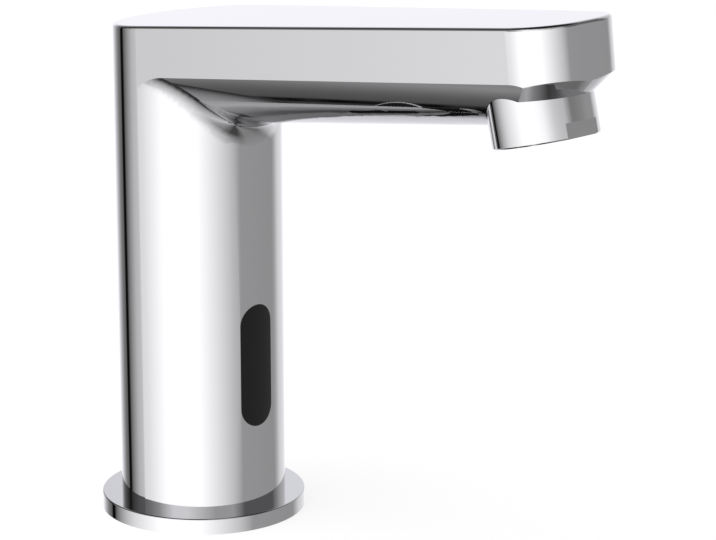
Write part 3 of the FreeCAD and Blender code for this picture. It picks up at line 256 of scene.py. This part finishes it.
# Backdrop paper: white and dull. The chrome looks through it at the table of the studio below.
floor_white = material("floor_paper_white", "#F4F4F4", 0.9)
tree = floor_white.node_tree
glow = node(tree, "ShaderNodeEmission", sockets={"Color": colour("#FFFFFF"), "Strength": GLOW})
paper = node(tree, "ShaderNodeMixShader",
             {1: tree.nodes["Principled BSDF"].outputs["BSDF"], 2: glow.outputs["Emission"]},
             {"Fac": GLOW_SHARE})
open_air = node(tree, "ShaderNodeBsdfTransparent")
path = node(tree, "ShaderNodeLightPath")
choice = node(tree, "ShaderNodeMixShader",
              {"Fac": path.outputs["Is Glossy Ray"], 1: paper.outputs["Shader"],
               2: open_air.outputs["BSDF"]})
tree.links.new(choice.outputs["Shader"], tree.nodes["Material Output"].inputs["Surface"])

bpy.ops.mesh.primitive_plane_add(size=FLOOR_SIZE, location=(0, 0, 0))
floor = bpy.context.object
floor.name = "floor"
floor.data.materials.append(floor_white)

# ---------------------------------------------------------------- light

# The studio that the chrome mirrors, as three rings of cards round the object. A place in a
# ring is a compass angle seen from above, 0 along the spout. At eye level: a white wall in
# front, a grey card at the right, a pale wall behind, and at the left a grey card beside a
# narrow black gap.
EYE_LEVEL = [(-180.0, "#737373"), (-171.0, "#585858"), (-170.0, "#0A0A0A"), (-163.5, "#0A0A0A"),
             (-162.0, "#545454"), (-154.0, "#868686"), (-140.0, "#BABABA"), (-128.0, "#D6D6D6"),
             (-95.0, "#FFFFFF"), (-45.0, "#FFFFFF"), (0.0, "#BEBEBE"), (16.0, "#919191"),
             (80.0, "#8B8B8B"), (96.0, "#C5C5C5"), (130.0, "#D3D3D8"), (156.0, "#D4D4D8"),
             (180.0, "#737373")]
# overhead the same cards end lower or stand further off, so the greys are darker
OVERHEAD = [(-180.0, "#494949"), (-168.0, "#0C0C0C"), (-160.0, "#404040"), (-130.0, "#6C6C6C"),
            (-108.0, "#A0A0A0"), (-85.0, "#F0F0F0"), (-65.0, "#F0F0F0"), (-25.0, "#B0B0B0"),
            (0.0, "#B0B0B0"), (18.0, "#606060"), (72.0, "#606060"), (95.0, "#B0B0B0"),
            (135.0, "#CCCCD1"), (152.0, "#B4B4B8"), (170.0, "#646464"), (180.0, "#494949")]
# underneath lies the table, which fades away from the walls and is black where the gap and the
# far left of the room are
TABLE = [(-180.0, "#0A0A0A"), (-173.4, "#0A0A0A"), (-172.4, "#484848"), (-170.0, "#787878"),
         (-166.0, "#2C2C2C"), (-148.0, "#2C2C2C"), (-117.0, "#989898"), (-79.0, "#BCBCBC"),
         (-58.0, "#969696"), (-35.0, "#767676"), (-12.0, "#404040"), (6.0, "#404040"),
         (30.0, "#7C7C7C"), (60.0, "#7C7C7C"), (95.0, "#606060"), (130.0, "#B8B8BC"),
         (152.0, "#B8B8BC"), (166.0, "#5C5C5E"), (172.0, "#0E0E0E"), (180.0, "#0A0A0A")]
# The table's far edge runs along the spout: a fine black joint with a soft shade before it. A
# place is a compass angle at EDGE_DEPTH, and EDGE_LEAN is how the angle moves with elevation,
# as it does for a straight edge. The last value is how much of the table the edge covers.
TABLE_EDGE = [(-171.75, "#484848", 0.0), (-171.6, "#484848"), (-171.52, "#303030"),
              (-171.5, "#000000"), (-171.42, "#000000"), (-171.4, "#494949"),
              (-171.255, "#505050"), (-171.13, "#5D5D5D"), (-171.0, "#707070"),
              (-170.86, "#848484"), (-170.5, "#848484", 0.0)]
EDGE_VIEW = (-172.0, -170.0)
EDGE_DEPTH = -52.5
EDGE_LEAN = 0.2067
# the ceiling above the lamps is dark
CEILING = "#202020"
# shares by elevation: of the walls over the table, of the overhead cards over the walls, and
# of the ceiling over the overhead cards
FROM_TABLE = [(-54.0, "#000000"), (-38.0, "#A8A8A8"), (-28.0, "#D0D0D0"), (-20.0, "#FFFFFF")]
TO_OVERHEAD = [(4.0, "#000000"), (15.0, "#FFFFFF")]
TO_CEILING = [(34.0, "#000000"), (52.0, "#FFFFFF")]
# the plate swallows over a third of what it mirrors, so the cards are that much brighter
CARD_STRENGTH = 1.64
# dull surfaces see one even light instead of the cards
FILL = 0.75
# a soft lamp above gives the floor its shadow; metres and watts
LAMP_SIZE = 1.2
LAMP_POWER = 9.0
LAMP_PLACE = Vector((-0.2, -0.5, 1.4))
LAMP_TARGET = Vector((0.05, 0.0, 0.0))

world = bpy.data.worlds.new("studio")
bpy.context.scene.world = world
world.use_nodes = True
tree = world.node_tree
tree.nodes.clear()
toward = node(tree, "ShaderNodeTexCoord")
split = node(tree, "ShaderNodeSeparateXYZ", {"Vector": toward.outputs["Generated"]})
compass = node(tree, "ShaderNodeMath", {0: split.outputs["Y"], 1: split.outputs["X"]},
               operation="ARCTAN2").outputs["Value"]
elevation = node(tree, "ShaderNodeMath", {0: split.outputs["Z"]},
                 operation="ARCSINE").outputs["Value"]


def looked_up(angle, first, last, cards):
    """Ramp of the cards that lie between two angles, given in degrees."""
    share = node(tree, "ShaderNodeMapRange", {"Value": angle},
                 {"From Min": math.radians(first), "From Max": math.radians(last)})
    stops = [((place - first) / (last - first), *shade) for place, *shade in cards]
    return node(tree, "ShaderNodeValToRGB", {"Fac": share.outputs["Result"]}, stops=stops)


def ring(cards):
    """One ring of cards, all the way round."""
    return looked_up(compass, -180.0, 180.0, cards).outputs["Color"]


def laid_over(share, under, over):
    """The second colour over the first, by its share."""
    return node(tree, "ShaderNodeMix", {0: share, 6: under, 7: over}, data_type="RGBA").outputs[2]


def above(stops, under, over):
    """One layer of the studio over the one below it, by elevation."""
    share = looked_up(elevation, -90.0, 90.0, stops)
    return laid_over(share.outputs["Color"], under, over)


def table_edge(table):
    """Lays the table's far edge over the table."""
    leaning = node(tree, "ShaderNodeMath", {0: elevation},
                   {1: EDGE_LEAN, 2: -EDGE_LEAN * math.radians(EDGE_DEPTH)},
                   operation="MULTIPLY_ADD")
    place = node(tree, "ShaderNodeMath", {0: compass, 1: leaning.outputs["Value"]},
                 operation="ADD")
    edge = looked_up(place.outputs["Value"], *EDGE_VIEW, TABLE_EDGE)
    return laid_over(edge.outputs["Alpha"], table, edge.outputs["Color"])


ceiling = node(tree, "ShaderNodeRGB")
ceiling.outputs["Color"].default_value = colour(CEILING)
cards = above(FROM_TABLE, table_edge(ring(TABLE)), ring(EYE_LEVEL))
cards = above(TO_OVERHEAD, cards, ring(OVERHEAD))
cards = above(TO_CEILING, cards, ceiling.outputs["Color"])

# mirrors see the cards, dull surfaces the even fill, and the camera plain white
seen = node(tree, "ShaderNodeBackground", {"Color": cards}, {"Strength": CARD_STRENGTH})
fill = node(tree, "ShaderNodeBackground", sockets={"Color": colour("#F4F4F6"), "Strength": FILL})
clear = node(tree, "ShaderNodeBackground", sockets={"Color": colour("#FFFFFF"), "Strength": 1.0})
path = node(tree, "ShaderNodeLightPath")
inner = node(tree, "ShaderNodeMixShader",
             {"Fac": path.outputs["Is Glossy Ray"], 1: fill.outputs["Background"],
              2: seen.outputs["Background"]})
outer = node(tree, "ShaderNodeMixShader",
             {"Fac": path.outputs["Is Camera Ray"], 1: inner.outputs["Shader"],
              2: clear.outputs["Background"]})
node(tree, "ShaderNodeOutputWorld", {"Surface": outer.outputs["Shader"]})

lamp_data = bpy.data.lights.new("overhead", "AREA")
lamp_data.shape = "DISK"
lamp_data.size = LAMP_SIZE
lamp_data.energy = LAMP_POWER
lamp = bpy.data.objects.new("overhead", lamp_data)
lamp.location = LAMP_PLACE
lamp.rotation_euler = (LAMP_TARGET - LAMP_PLACE).to_track_quat("-Z", "Y").to_euler()
lamp.visible_glossy = False
bpy.context.scene.collection.objects.link(lamp)

# ---------------------------------------------------------------- camera

# The photograph's view: degrees beside the spout, above the deck and out of level, the
# camera's place in metres, and the lens for a sensor 36 mm wide.
BESIDE = math.radians(45.62)
ABOVE = math.radians(14.95)
ROLL = math.radians(-0.15)
CAMERA_PLACE = (0.6630, -0.5876, 0.3039)
LENS = 165.75
SENSOR_WIDTH = 36.0
NEAREST = 0.05

toward_camera = Vector((math.sin(BESIDE) * math.cos(ABOVE),
                        -math.cos(BESIDE) * math.cos(ABOVE), math.sin(ABOVE)))
level_right = Vector((math.cos(BESIDE), math.sin(BESIDE), 0))
level_up = toward_camera.cross(level_right)
right = level_right * math.cos(ROLL) + level_up * math.sin(ROLL)
up = level_up * math.cos(ROLL) - level_right * math.sin(ROLL)
camera_data = bpy.data.cameras.new("camera")
camera_data.sensor_fit = "HORIZONTAL"
camera_data.sensor_width = SENSOR_WIDTH
camera_data.lens = LENS
camera_data.clip_start = NEAREST
camera = bpy.data.objects.new("camera", camera_data)
turned = Matrix((right, up, toward_camera)).transposed().to_4x4()
camera.matrix_world = Matrix.Translation(CAMERA_PLACE) @ turned
bpy.context.scene.collection.objects.link(camera)
bpy.context.scene.camera = camera
bpy.context.scene.view_settings.view_transform = "Standard"
